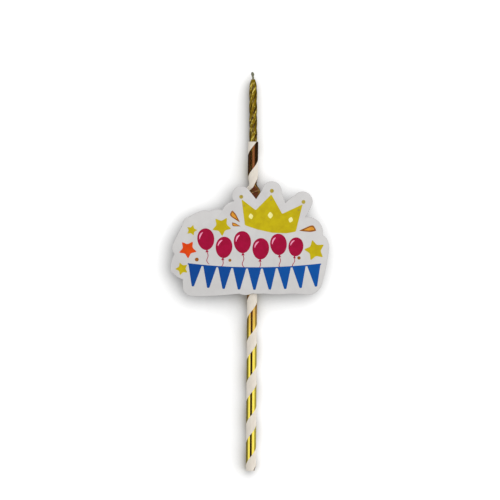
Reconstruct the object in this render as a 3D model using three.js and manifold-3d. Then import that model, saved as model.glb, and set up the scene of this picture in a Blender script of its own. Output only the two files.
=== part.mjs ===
// Cake topper candle: a twisted metallic candle pushed into a foil striped paper straw,
// with a die-cut birthday card glued to the front of the straw.
// Millimetres. The origin is the middle of the straw's lower end, the end that goes into the
// cake. +Z runs up the straw, +X to the right and the card's printed face looks along -Y.

import * as THREE from 'three';
import { mergeVertices } from 'three/addons/utils/BufferGeometryUtils.js';
import Module from 'manifold-3d';

const wasm = await Module();
wasm.setup();

// Paper straw, wound from three paper strips
const strawLength = 197;
const strawRadius = 3;
const plyThickness = 0.13;
const plyGap = 0.02;
const plyNames = ['straw_outer_ply', 'straw_middle_ply', 'straw_inner_ply'];
const windPitch = 24.6;
const seamWidth = 0.35;
const seamFrontHeight = 3;
const seamMargin = 3;
const strawSides = 16;
const cutMargin = 0.45;
const ribbonStep = 1.4;

// Gold foil stripe on the outer ply
const foilThickness = 0.04;
const foilHeight = 13.4;
const foilFrontHeight = 8.6;

// Crimp below the candle, from the top down: a side-to-side pinch, a flare to the stretch that
// is pressed flat, and a relief where the straw gets round again
const mouthDepth = 19.5;
const pinchLength = 5.9;
const flareLength = 5;
const flatLength = 7.6;
const reliefLength = 12;
const pinchHalfDepth = 3.7;
const flatHalfDepth = 0.64;

// Twisted candle, a push fit in the straw
const waxLength = 57.7;
const candleFit = 0.17;
const fluteDepth = 0.42;
const fluteCount = 4;
const twistPitch = 32.4;
const shoulderLength = 4.3;
const waxTipRadius = 1.15;
const seatClearance = 0.1;
const seatGap = 0.3;
const waxSides = 20;
const waxStep = 1.8;

// Wick
const wickRadius = 0.6;
const wickClearance = 0.1;
const wickExposed = 4.5;
const wickBulbRadius = 0.9;
const wickBulbLength = 2.8;
const wickTipRadius = 0.66;
const wickTipRounding = 0.34;
const wickSides = 10;

// Die-cut card. Each row is x, height above the card's bottom and how far the stretch to the
// next point bulges outwards, clockwise from the notch between the two left crown points. The
// rows are the outline at its own width, and it is cut at cardWidth.
const cardWidth = 95;
const cardDrop = 62.6;
const cardThickness = 0.6;
const cardClearance = 0.1;
const arcStep = 1.2;
const cardOutline = [
  [2.0, 58.6, 0],
  [5.7, 64.4, 5.6],
  [17.2, 63.0, 0],
  [19.5, 56.4, 0.3],
  [25.2, 61.0, 5.2],
  [35.3, 55.0, 0],
  [31.7, 48.1, 3.7],
  [42.0, 37.5, 1.2],
  [45.9, 29.5, 0.4],
  [42.2, 10.2, 2.0],
  [34.4, 1.5, 0],
  [25.7, 2.1, 0],
  [19.2, 1.9, 0.4],
  [7.1, 2.1, 0.25],
  [0.2, 2.2, 0.9],
  [-7.7, 1.9, 0.2],
  [-29.7, 0.2, 0.1],
  [-37.0, 0.4, 1.5],
  [-41.5, 6.5, 0.1],
  [-41.5, 10.2, 0.8],
  [-49.1, 15.8, 0.6],
  [-46.7, 25.4, 1.1],
  [-47.4, 31.6, 0.1],
  [-41.7, 43.6, 0.9],
  [-38.9, 47.3, 0.2],
  [-31.2, 51.1, 0.5],
  [-25.9, 51.0, 0.9],
  [-18.2, 51.9, 1.2],
  [-11.3, 57.3, 5.5],
  [-2.6, 64.3, 0],
];

// Glue bead between the card and the straw
const glueMargin = 8;
const glueLength = 32;
const glueWidth = 8.4;
const glueWrap = 1.7;
const glueNarrowing = 1.2;
const glueGap = 0.15;
const glueSides = 16;

// Finishes, as colour, roughness and metalness
const finishes = {
  paper: ['#ddd4c6', 0.85, 0],
  foil: ['#d9b93c', 0.25, 1],
  wax: ['#a8862c', 0.35, 0.8],
  wick: ['#7c7b62', 0.9, 0],
  card: ['#cfcbcb', 0.6, 0],
  glue: ['#e8e2d2', 0.4, 0],
};

const shortestEdge = 0.004;

const wallThickness = plyNames.length * plyThickness + (plyNames.length - 1) * plyGap;
const waxRadius = strawRadius - wallThickness - candleFit;

// The foil stands this far out of the straw, and the card clears it where the pinch is deepest
const foilStandout = plyGap + foilThickness;
const cardBack = -(Math.max(strawRadius, pinchHalfDepth) + foilStandout + cardClearance);

// Heights above the straw's lower end
const pinchTop = strawLength - mouthDepth;
const pinchHeight = pinchTop - pinchLength;
const flatTop = pinchHeight - flareLength;
const flatBottom = flatTop - flatLength;
const crimpBottom = flatBottom - reliefLength;
const cardBottom = flatTop - cardDrop;
const glueBottom = cardBottom + glueMargin;

function solid(geometry) {
  const bare = geometry.clone();
  bare.deleteAttribute('normal');
  bare.deleteAttribute('uv');
  const merged = mergeVertices(bare, 1e-5);
  return new wasm.Manifold(new wasm.Mesh({
    numProp: 3,
    vertProperties: new Float32Array(merged.attributes.position.array),
    triVerts: new Uint32Array(merged.index.array),
  }));
}

// A cut can leave edges too short to matter: the two ends of each become one point, and the
// faces that this flattens go.
function weldShortEdges(positions, corners) {
  const root = Array.from({ length: positions.length / 3 }, (_, v) => v);
  const find = (v) => {
    let end = v;
    while (root[end] !== end) end = root[end];
    return end;
  };
  const far = (a, b) => Math.hypot(...[0, 1, 2].map((k) => {
    return positions[3 * a + k] - positions[3 * b + k];
  }));
  corners.forEach((a, c) => {
    const b = c % 3 === 2 ? corners[c - 2] : corners[c + 1];
    if (far(a, b) < shortestEdge) root[find(a)] = find(b);
  });
  const faces = new Map();
  for (let t = 0; t < corners.length; t += 3) {
    const face = [find(corners[t]), find(corners[t + 1]), find(corners[t + 2])];
    const key = [...face].sort((a, b) => a - b).join();
    if (new Set(face).size < 3 || faces.delete(key)) continue;
    faces.set(key, face);
  }
  return [...faces.values()].flat();
}

function geometryOf(manifold) {
  const mesh = manifold.getMesh();
  const geometry = new THREE.BufferGeometry();
  geometry.setAttribute('position', new THREE.BufferAttribute(mesh.vertProperties, 3));
  geometry.setIndex(weldShortEdges(mesh.vertProperties, Array.from(mesh.triVerts)));
  geometry.computeVertexNormals();
  return geometry;
}

function part(name, geometry, finish) {
  const [color, roughness, metalness] = finishes[finish];
  const mesh = new THREE.Mesh(
    geometry,
    new THREE.MeshStandardMaterial({ color, roughness, metalness }),
  );
  mesh.name = name;
  return mesh;
}

// The flat face over a ring, as a fan round its middle; flip turns it to face the other way
function fan(start, count, hub, flip) {
  const index = [];
  for (let i = 0; i < count; i += 1) {
    const j = (i + 1) % count;
    if (flip) index.push(hub, start + j, start + i);
    else index.push(hub, start + i, start + j);
  }
  return index;
}

function middleOf(ring) {
  return [0, 1, 2].map((k) => ring.reduce((sum, point) => sum + point[k], 0) / ring.length);
}

// A closed skin over rings that have the same number of points and run the same way round.
// With closeLoop the last ring joins the first, otherwise both ends get a flat face. From ring
// turnFrom on, the rings come back down inside the wall, and the faces are split the other way,
// so that the walls of nested tubes run exactly side by side.
function skin(rings, closeLoop, turnFrom = Infinity) {
  const count = rings[0].length;
  const points = rings.flat();
  const index = [];
  const steps = closeLoop ? rings.length : rings.length - 1;
  for (let r = 0; r < steps; r += 1) {
    const here = r * count;
    const next = ((r + 1) % rings.length) * count;
    for (let i = 0; i < count; i += 1) {
      const j = (i + 1) % count;
      if (r >= turnFrom) {
        index.push(here + i, here + j, next + i, here + j, next + j, next + i);
      } else {
        index.push(here + i, here + j, next + j, here + i, next + j, next + i);
      }
    }
  }
  if (!closeLoop) {
    const last = rings.length - 1;
    index.push(...fan(0, count, points.length, true));
    index.push(...fan(last * count, count, points.length + 1, false));
    points.push(middleOf(rings[0]), middleOf(rings[last]));
  }
  const geometry = new THREE.BufferGeometry();
  geometry.setAttribute('position', new THREE.Float32BufferAttribute(points.flat(), 3));
  geometry.setIndex(index);
  return geometry;
}

// Girth of an ellipse with these half axes (Ramanujan)
function girth(a, b) {
  return Math.PI * (3 * (a + b) - Math.sqrt((3 * a + b) * (a + 3 * b)));
}

// Paper doesn't stretch: the half width that keeps the round straw's girth at a half depth
function halfWidthFor(halfDepth) {
  const target = girth(strawRadius, strawRadius);
  let low = 0;
  let high = strawRadius * 2;
  for (let i = 0; i < 40; i += 1) {
    const middle = (low + high) / 2;
    if (girth(middle, halfDepth) < target) low = middle;
    else high = middle;
  }
  return (low + high) / 2;
}

function ease(from, to, share) {
  const t = Math.min(Math.max(share, 0), 1);
  return from + (to - from) * t * t * (3 - 2 * t);
}

// Half depth of the straw's outside at a height, front to back
function halfDepthAt(z) {
  if (z >= pinchHeight) {
    return ease(pinchHalfDepth, strawRadius, (z - pinchHeight) / (pinchTop - pinchHeight));
  }
  if (z >= flatTop) {
    return ease(flatHalfDepth, pinchHalfDepth, (z - flatTop) / (pinchHeight - flatTop));
  }
  return ease(flatHalfDepth, strawRadius, (flatBottom - z) / (flatBottom - crimpBottom));
}

// A point of the straw's wall. Turn 0 is the front, and it grows to the right, round the back.
function wallPoint(turn, z, inset) {
  const depth = halfDepthAt(z);
  const width = halfWidthFor(depth);
  const angle = turn * 2 * Math.PI;
  return [(width - inset) * Math.sin(angle), -(depth - inset) * Math.cos(angle), z];
}

// The heights at which the straw's wall has a ring of points
function levels() {
  const stretches = [
    [0, crimpBottom, 1],
    [crimpBottom, flatBottom, 4],
    [flatBottom, flatTop, 1],
    [flatTop, pinchHeight, 3],
    [pinchHeight, pinchTop, 2],
    [pinchTop, strawLength, 1],
  ];
  const heights = stretches.flatMap(([from, to, steps]) => {
    return Array.from({ length: steps }, (_, s) => from + ((to - from) * s) / steps);
  });
  return [...heights, strawLength];
}

function ringAt(z, inset) {
  const ring = [];
  for (let i = 0; i < strawSides; i += 1) {
    ring.push(wallPoint(i / strawSides, z, inset));
  }
  return ring;
}

// A tube that follows the straw, crimp included
function tube(outerInset, innerInset) {
  const up = levels();
  const outside = up.map((z) => ringAt(z, outerInset));
  const inside = up.map((z) => ringAt(z, innerInset)).reverse();
  return solid(skin([...outside, ...inside], true, up.length));
}

// A ribbon that winds up the straw between two heights, is height tall along the straw and goes
// through the wall between two insets. It follows the wall, so in the crimp it bends as the
// paper does. Its corners lie off the straw's own corners, which keeps cuts clean.
function ribbon(frontHeight, height, [outerInset, innerInset], [from, to]) {
  const offCorner = 0.5;
  const rows = Math.max(1, Math.round(height / ribbonStep));
  const first = Math.ceil(((from - frontHeight) / windPitch) * strawSides);
  const last = Math.floor(((to - frontHeight) / windPitch) * strawSides);
  const rings = [];
  for (let i = first; i <= last; i += 1) {
    const turn = (i + offCorner) / strawSides;
    const low = frontHeight + windPitch * turn;
    const up = Array.from({ length: rows + 1 }, (_, row) => low + (height * row) / rows);
    rings.push([
      ...up.map((z) => wallPoint(turn, z, innerInset)),
      ...up.reverse().map((z) => wallPoint(turn, z, outerInset)),
    ]);
  }
  return solid(skin(rings, false));
}

// Each ply is a strip whose edges meet in a spiral seam, which the crimp presses shut
function strawPlies() {
  return plyNames.map((name, layer) => {
    const inset = layer * (plyThickness + plyGap);
    const frontHeight = seamFrontHeight + (layer * windPitch) / plyNames.length;
    const through = [inset - cutMargin, inset + plyThickness + cutMargin];
    const lower = [-windPitch, crimpBottom - seamMargin];
    const upper = [pinchTop + seamMargin, strawLength + windPitch];
    const paper = tube(inset, inset + plyThickness)
      .subtract(ribbon(frontHeight, seamWidth, through, lower))
      .subtract(ribbon(frontHeight, seamWidth, through, upper));
    return part(name, geometryOf(paper), 'paper');
  });
}

function foilStripe() {
  const film = tube(-foilStandout, -plyGap);
  const through = [-foilStandout - cutMargin, -plyGap + cutMargin];
  const band = ribbon(foilFrontHeight, foilHeight, through, [-windPitch, strawLength + windPitch]);
  return part('foil_stripe', geometryOf(film.intersect(band)), 'foil');
}

// The height at which the pinched straw's bore gets too narrow for the candle
function candleSeat() {
  const step = 0.05;
  const widest = waxRadius + seatClearance;
  let z = pinchTop;
  while (z > pinchHeight && halfWidthFor(halfDepthAt(z)) - wallThickness > widest) {
    z -= step;
  }
  return z + seatGap;
}

function waxRing(z, radius, depth) {
  const ring = [];
  for (let i = 0; i < waxSides; i += 1) {
    const turn = i / waxSides + z / twistPitch;
    const flute = (1 - Math.cos((2 * Math.PI * fluteCount * i) / waxSides)) / 2;
    const r = radius - depth * flute;
    ring.push([r * Math.cos(turn * 2 * Math.PI), r * Math.sin(turn * 2 * Math.PI), z]);
  }
  return ring;
}

function candleWax() {
  const straight = waxLength - shoulderLength;
  const steps = Math.round(straight / waxStep);
  const rings = [];
  for (let s = 0; s <= steps; s += 1) {
    rings.push(waxRing((straight * s) / steps, waxRadius, fluteDepth));
  }
  const shoulderSteps = 3;
  for (let s = 1; s <= shoulderSteps; s += 1) {
    const share = s / shoulderSteps;
    const radius = waxRadius - (waxRadius - waxTipRadius) * share * share;
    rings.push(waxRing(straight + shoulderLength * share, radius, fluteDepth * (1 - share)));
  }
  const bore = new THREE.CylinderGeometry(
    wickRadius + wickClearance, wickRadius + wickClearance, waxLength * 2, wickSides);
  bore.rotateX(Math.PI / 2);
  const wax = solid(skin(rings, false)).subtract(solid(bore));
  return part('candle_wax', geometryOf(wax), 'wax');
}

function candleWick() {
  const top = waxLength + wickExposed;
  const bulbMiddle = top - wickBulbLength / 2;
  const profile = [new THREE.Vector2(0, 0), new THREE.Vector2(wickRadius, 0)];
  profile.push(new THREE.Vector2(wickRadius, top - wickBulbLength));
  profile.push(new THREE.Vector2(wickBulbRadius, bulbMiddle));
  profile.push(new THREE.Vector2(wickTipRadius, top - wickTipRounding));
  profile.push(new THREE.Vector2(0, top));
  const lathe = new THREE.LatheGeometry(profile, wickSides);
  lathe.rotateX(Math.PI / 2);
  return part('candle_wick', geometryOf(solid(lathe)), 'wick');
}

// The points of the round stretch from one outline point to the next
function arcPoints([x, z, bulge], [nextX, nextZ]) {
  const chord = Math.hypot(nextX - x, nextZ - z);
  if (bulge === 0) return [new THREE.Vector2(x, z)];
  const radius = (chord * chord / 4 + bulge * bulge) / (2 * bulge);
  const spread = 2 * Math.asin(Math.min(1, chord / 2 / radius));
  const sweep = bulge > chord / 2 ? 2 * Math.PI - spread : spread;
  const steps = Math.max(2, Math.round((radius * sweep) / arcStep));
  const along = new THREE.Vector2(nextX - x, nextZ - z).divideScalar(chord);
  const outwards = new THREE.Vector2(-along.y, along.x);
  const centre = new THREE.Vector2((x + nextX) / 2, (z + nextZ) / 2)
    .addScaledVector(outwards, bulge - radius);
  const points = [];
  for (let s = 0; s < steps; s += 1) {
    const angle = sweep * (s / steps - 0.5);
    points.push(centre.clone()
      .addScaledVector(outwards, radius * Math.cos(angle))
      .addScaledVector(along, radius * Math.sin(angle)));
  }
  return points;
}

function plaqueCard() {
  const across = cardOutline.map(([x]) => x);
  const share = cardWidth / (Math.max(...across) - Math.min(...across));
  const rows = cardOutline.map((row) => row.map((value) => value * share));
  const points = rows.flatMap((from, i) => arcPoints(from, rows[(i + 1) % rows.length]));
  const geometry = new THREE.ExtrudeGeometry(
    new THREE.Shape(points), { depth: cardThickness, bevelEnabled: false });
  geometry.rotateX(Math.PI / 2);
  geometry.translate(0, cardBack, cardBottom);
  return part('plaque_card', geometryOf(solid(geometry)), 'card');
}

// One level of the bead: a stadium, narrowed by inset all round, at a distance from the card
function beadRing(depth, inset) {
  const radius = glueWidth / 2 - inset;
  const middles = [glueBottom + glueWidth / 2, glueBottom + glueLength - glueWidth / 2];
  const ring = [];
  for (let i = 0; i <= glueSides; i += 1) {
    const angle = Math.PI * (1 + i / glueSides);
    ring.push([radius * Math.cos(angle), cardBack + depth, middles[0] + radius * Math.sin(angle)]);
  }
  for (let i = 0; i <= glueSides; i += 1) {
    const angle = (Math.PI * i) / glueSides;
    ring.push([radius * Math.cos(angle), cardBack + depth, middles[1] + radius * Math.sin(angle)]);
  }
  return ring.reverse();
}

function glueBead() {
  const deep = -cardBack - strawRadius - foilStandout + glueWrap;
  const rings = [];
  const steps = 3;
  for (let s = 0; s <= steps; s += 1) {
    const share = s / steps;
    rings.push(beadRing(deep * share, glueNarrowing * share * share));
  }
  const clear = -(foilStandout + glueGap);
  const straw = solid(skin(levels().map((z) => ringAt(z, clear)), false));
  return part('glue_bead', geometryOf(solid(skin(rings, false)).subtract(straw)), 'glue');
}

const straw = new THREE.Group();
straw.add(...strawPlies(), foilStripe());

const candle = new THREE.Group();
candle.add(candleWax(), candleWick());
candle.position.z = candleSeat();

const topper = new THREE.Group();
topper.add(straw, candle, plaqueCard(), glueBead());

export default topper;
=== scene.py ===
# %% [markdown]
# # Cake topper candle
# A cake topper is a small party decoration. A white paper straw with a spiral gold foil stripe
# goes into the cake, a twisted gold candle is pushed into its top, and a die-cut printed card is
# glued to its front. The packed model holds every piece at its real place and size. This lesson
# dresses each of them: it winds the straw from strips of paper, twists the candle and the wick,
# prints the card and lights a small studio. Lengths are in metres throughout.

# %% Load the packed frame
import math

import bmesh
import bpy
from mathutils import Matrix, Vector


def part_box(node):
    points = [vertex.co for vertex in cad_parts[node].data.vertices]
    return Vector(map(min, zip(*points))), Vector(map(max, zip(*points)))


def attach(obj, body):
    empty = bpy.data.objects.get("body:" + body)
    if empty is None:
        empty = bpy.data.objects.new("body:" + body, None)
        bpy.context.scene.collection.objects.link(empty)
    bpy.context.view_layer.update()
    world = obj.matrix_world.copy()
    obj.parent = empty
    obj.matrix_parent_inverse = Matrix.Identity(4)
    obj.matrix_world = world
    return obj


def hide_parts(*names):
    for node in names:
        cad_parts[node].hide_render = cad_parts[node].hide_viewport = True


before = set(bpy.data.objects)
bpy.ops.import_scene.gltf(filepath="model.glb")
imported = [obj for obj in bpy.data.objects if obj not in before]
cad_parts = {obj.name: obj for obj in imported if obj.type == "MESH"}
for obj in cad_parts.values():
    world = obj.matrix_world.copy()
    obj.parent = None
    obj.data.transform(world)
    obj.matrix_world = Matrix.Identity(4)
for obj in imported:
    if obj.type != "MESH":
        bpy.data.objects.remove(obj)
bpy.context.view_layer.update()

MM = 0.001
scene = bpy.context.scene
print("packed nodes:", sorted(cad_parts))

# %% [markdown]
# ## Camera
# The photograph looks square at the card from far off, so a long lens is used at a distance where
# perspective hardly shows. A wide lens close by would make the card look bigger than the straw.
# The straw leans a little to the right in the photograph, so the camera is rolled and the straw
# stays upright in its own frame.

# %% Camera
PHOTO_SIDE = 299.62 * MM
CAMERA_DISTANCE = 3.0
STRAW_LEAN = math.radians(0.4)
PHOTO_MIDDLE = Vector((-1.43 * MM, 0.0, 132.13 * MM))
SENSOR_WIDTH = 36.0
VIEW_REACH = 20.0

camera_data = bpy.data.cameras.new("camera")
camera_data.sensor_width = SENSOR_WIDTH
camera_data.lens = SENSOR_WIDTH * CAMERA_DISTANCE / PHOTO_SIDE
camera_data.clip_end = VIEW_REACH
camera = bpy.data.objects.new("camera", camera_data)
upright = Matrix.Rotation(math.radians(90), 4, "X")
camera.matrix_world = (
    Matrix.Translation(PHOTO_MIDDLE + Vector((0, -CAMERA_DISTANCE, 0)))
    @ upright
    @ Matrix.Rotation(STRAW_LEAN, 4, "Z")
)
scene.collection.objects.link(camera)
scene.camera = camera
scene.view_settings.view_transform = "Standard"
print("lens, mm:", round(camera_data.lens, 1))

# %% [markdown]
# ## Formulas that become nodes
# A straw's wall, a twisted candle and a braided wick all follow a rule. Such a rule could be
# wired up from dozens of Math nodes by hand. Here a small class does the wiring: a formula
# written with its numbers adds the nodes, in a geometry tree and in a material alike.


# %% Numbers in a tree
class Number:
    """A number inside a node tree. A sum written with it becomes Math nodes."""

    def __init__(self, tree, socket):
        self.tree = tree
        self.socket = socket

    def math(self, operation, *others):
        made = self.tree.nodes.new("ShaderNodeMath")
        made.operation = operation
        for slot, value in zip(made.inputs, (self, *others)):
            feed(self.tree, slot, value)
        return Number(self.tree, made.outputs[0])

    def __add__(self, other):
        return self.math("ADD", other)

    def __sub__(self, other):
        return self.math("SUBTRACT", other)

    def __mul__(self, other):
        return self.math("MULTIPLY", other)

    def __truediv__(self, other):
        return self.math("DIVIDE", other)

    def __rtruediv__(self, other):
        return self ** -1.0 * other

    def __pow__(self, other):
        return self.math("POWER", other)

    def __radd__(self, other):
        return self + other

    def __rsub__(self, other):
        return self * -1.0 + other

    def __rmul__(self, other):
        return self * other

    def __neg__(self):
        return self * -1.0

    def __abs__(self):
        return self.math("ABSOLUTE")

    def sin(self):
        return self.math("SINE")

    def cos(self):
        return self.math("COSINE")

    def least(self, other):
        return self.math("MINIMUM", other)

    def most(self, other):
        return self.math("MAXIMUM", other)


print("operations of a number:", sum(callable(value) for value in vars(Number).values()))

# %% [markdown]
# ## Adding nodes
# A node's input is either set to a plain value or linked to another node. In Blender these are
# two different calls. One helper does whichever is needed, so that the trees below read alike.


# %% Node helpers
def feed(tree, slot, value):
    """Sets a socket to a plain value, or links it to a number or socket of the tree."""
    if isinstance(value, Number):
        value = value.socket
    if isinstance(value, bpy.types.NodeSocket):
        tree.links.new(value, slot)
    else:
        slot.default_value = value


def add_node(tree, kind, inputs=None, **settings):
    """Adds a node, with its settings and the values or links of its inputs."""
    made = tree.nodes.new(kind)
    for name, value in settings.items():
        setattr(made, name, value)
    for name, value in (inputs or {}).items():
        feed(tree, made.inputs[name], value)
    return made


def numbers_of(tree, vector):
    """The X, Y and Z of a vector socket."""
    split = add_node(tree, "ShaderNodeSeparateXYZ", {0: vector})
    return [Number(tree, socket) for socket in split.outputs]


def vector_of(tree, x, y, z):
    return add_node(tree, "ShaderNodeCombineXYZ", {0: x, 1: y, 2: z}).outputs[0]


def ramp(value, start, end):
    """0 before start, 1 after end and a smooth rise between."""
    share = ((value - start) / (end - start)).most(0.0).least(1.0)
    return share * share * (3.0 - 2.0 * share)


# %% [markdown]
# ## Geometry trees
# A geometry tree makes a mesh from a few named sizes, which are its inputs. Each tree here is
# started and ended the same way: its inputs are declared, and what it made is turned into real
# faces and given its material.

# %% Start and end of a tree
SOCKET_KINDS = {
    float: "NodeSocketFloat",
    int: "NodeSocketInt",
    bpy.types.Material: "NodeSocketMaterial",
    bpy.types.Object: "NodeSocketObject",
}


def new_tree(name, inputs):
    """A geometry tree with named inputs, each given as its name and kind."""
    tree = bpy.data.node_groups.new(name, "GeometryNodeTree")
    tree.interface.new_socket("Geometry", in_out="INPUT", socket_type="NodeSocketGeometry")
    tree.interface.new_socket("Geometry", in_out="OUTPUT", socket_type="NodeSocketGeometry")
    for label, kind in inputs.items():
        tree.interface.new_socket(label, in_out="INPUT", socket_type=SOCKET_KINDS[kind])
    entry = tree.nodes.new("NodeGroupInput")
    given = {"Geometry": entry.outputs["Geometry"]}
    for label, kind in inputs.items():
        socket = entry.outputs[label]
        given[label] = Number(tree, socket) if kind is float else socket
    return tree, given


def end_tree(tree, geometry, finish):
    """Realizes what the tree made, gives it its material and hands it out."""
    real = add_node(tree, "GeometryNodeRealizeInstances", {0: geometry})
    coated = add_node(
        tree, "GeometryNodeSetMaterial", {"Geometry": real.outputs[0], "Material": finish}
    )
    way_out = tree.nodes.new("NodeGroupOutput")
    tree.links.new(coated.outputs[0], way_out.inputs[0])


def moved_to(tree, geometry, position):
    return add_node(
        tree, "GeometryNodeSetPosition", {"Geometry": geometry, "Position": position}
    ).outputs[0]


print("kinds of tree input:", len(SOCKET_KINDS))

# %% [markdown]
# ## Clean meshes
# Each finished mesh has its doubled points merged, its open edges counted and its faces turned
# outwards. The finished meshes are kept as well as the picture, so each has to be closed, with
# no doubled points and with its faces turned outwards. The volume shows which way they look: it
# comes out negative where they look inwards. All edges are smoothed but the sharp ones.


# %% Clean a mesh
def enclosed_volume(mesh):
    """The volume inside a closed mesh, negative if its faces look inwards."""
    mesh.calc_loop_triangles()
    corners = [[mesh.vertices[v].co for v in face.vertices] for face in mesh.loop_triangles]
    return sum(a.dot(b.cross(c)) for a, b, c in corners) / 6


def settle(piece, corner_angle=40, merge=1e-7):
    """Merges doubles, turns the faces outwards, smooths all but sharp corners and reports."""
    mesh = piece.data
    work = bmesh.new()
    work.from_mesh(mesh)
    bmesh.ops.remove_doubles(work, verts=work.verts, dist=merge)
    open_edges = sum(1 for edge in work.edges if not edge.is_manifold)
    work.to_mesh(mesh)
    work.free()
    if enclosed_volume(mesh) < 0:
        mesh.flip_normals()
    mesh.shade_smooth()
    mesh.set_sharp_from_angle(angle=math.radians(corner_angle))
    volume = enclosed_volume(mesh) / MM**3
    print(f"{piece.name}: {len(mesh.polygons)} faces, {open_edges} open edges, {volume:.1f} mm3")
    return piece


# %% [markdown]
# ## Running a tree
# A piece is made by putting its tree on an object as a modifier, filling in the named inputs and
# turning what comes out into a plain mesh. The modifier is dropped, so that nothing is left to be
# worked out later.


# %% Run a tree
def grow(name, tree, values, base=None):
    """A piece made by running a geometry tree with these named values."""
    piece = bpy.data.objects.new(name, base or bpy.data.meshes.new(name))
    scene.collection.objects.link(piece)
    modifier = piece.modifiers.new("grow", "NODES")
    modifier.node_group = tree
    for socket in tree.interface.items_tree:
        if socket.in_out == "INPUT" and socket.name in values:
            modifier[socket.identifier] = values[socket.name]
    bpy.context.view_layer.update()
    grown = piece.evaluated_get(bpy.context.evaluated_depsgraph_get())
    mesh = bpy.data.meshes.new_from_object(grown)
    piece.modifiers.remove(modifier)
    piece.data = mesh
    return settle(piece)


# %% [markdown]
# ## Finish helpers
# Each finish is a short node tree on a Principled shader. Object coordinates are used, so a
# pattern sits still in the piece. Colours are given as the usual six digit codes and turned into
# the linear values that the shader works in.


# %% Finish helpers
def paint(code):
    """A linear colour from a six digit code."""
    shares = [int(code[i : i + 2], 16) / 255 for i in (1, 3, 5)]
    linear = [s / 12.92 if s <= 0.04045 else ((s + 0.055) / 1.055) ** 2.4 for s in shares]
    return (*linear, 1.0)


def new_finish(name, **sockets):
    """A material, its tree, its shader and its object coordinates."""
    finish = bpy.data.materials.new(name)
    finish.use_nodes = True
    tree = finish.node_tree
    shader = tree.nodes["Principled BSDF"]
    for socket, value in sockets.items():
        shader.inputs[socket.replace("_", " ")].default_value = value
    where = tree.nodes.new("ShaderNodeTexCoord").outputs["Object"]
    return finish, tree, shader, where


def noise(tree, where, grain, stretch=(1, 1, 1), detail=3.0):
    """Noise with patches of about one grain, drawn out along an axis by a small stretch."""
    fitted = add_node(tree, "ShaderNodeMapping", {"Vector": where, "Scale": stretch})
    made = add_node(
        tree,
        "ShaderNodeTexNoise",
        {"Vector": fitted.outputs[0], "Scale": 1 / grain, "Detail": detail},
    )
    return Number(tree, made.outputs["Fac"])


def between(tree, share, low, high):
    """A colour between two others."""
    made = add_node(tree, "ShaderNodeMix", data_type="RGBA")
    feed(tree, made.inputs[0], share)
    feed(tree, made.inputs[6], low)
    feed(tree, made.inputs[7], high)
    return made.outputs[2]


def emboss(tree, shader, height, depth):
    """Raises the surface by up to depth where height is 1."""
    made = add_node(tree, "ShaderNodeBump", {"Height": height, "Distance": depth})
    tree.links.new(made.outputs[0], shader.inputs["Normal"])


print("middle grey as a linear value:", round(paint("#808080")[0], 3))

# %% [markdown]
# ## Straw wall
# The straw is three paper strips wound one over the other, and the edges of each strip meet in a
# spiral seam. Below the candle the straw is crimped: pinched from side to side, so that the
# candle can't drop, then pressed flat. Between the two its front is pressed in, and a slanted
# fold runs across where the flat part starts. A bent tube could be modelled by hand, but then
# strips and foil would have to be fitted to it one by one. Instead one formula says where any
# point of the wall is, from its turn round the straw, its height and its depth in the wall, and
# every strip goes through it. Paper doesn't stretch, so the flattened straw keeps the round
# one's girth.

# %% Straw sizes
STRAW_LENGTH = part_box("straw_outer_ply")[1].z
STRAW_RADIUS = 3.0 * MM
WIND_PITCH = 24.6 * MM
PLY_THICKNESS = 0.13 * MM
PLY_GAP = 0.02 * MM
FOIL_THICKNESS = 0.04 * MM

MOUTH_DEPTH = 19.5 * MM
PINCH_LENGTH = 5.9 * MM
FLARE_LENGTH = 5.0 * MM
FLAT_LENGTH = 7.6 * MM
RELIEF_LENGTH = 12.0 * MM
PINCH_TOP = STRAW_LENGTH - MOUTH_DEPTH
PINCH_HEIGHT = PINCH_TOP - PINCH_LENGTH
FLAT_TOP = PINCH_HEIGHT - FLARE_LENGTH
FLAT_BOTTOM = FLAT_TOP - FLAT_LENGTH
RELIEF_BOTTOM = FLAT_BOTTOM - RELIEF_LENGTH
PINCH_HALF_DEPTH = 3.7 * MM
FLAT_HALF_DEPTH = 0.64 * MM

FOLD_RISE = 0.05 * MM
FOLD_WIDTH = 0.7 * MM
FOLD_SLANT = 0.4
FRONT_PRESS = 1.6 * MM
CRUMPLE_SHARE = 0.05
CRUMPLE_GRAIN = 2.2 * MM
TIP_DENT_SHARE = 0.28
TIP_DENT_HEIGHT = 3.6 * MM
print("crimp from", round(RELIEF_BOTTOM, 4), "to", round(PINCH_TOP, 4))


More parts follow.
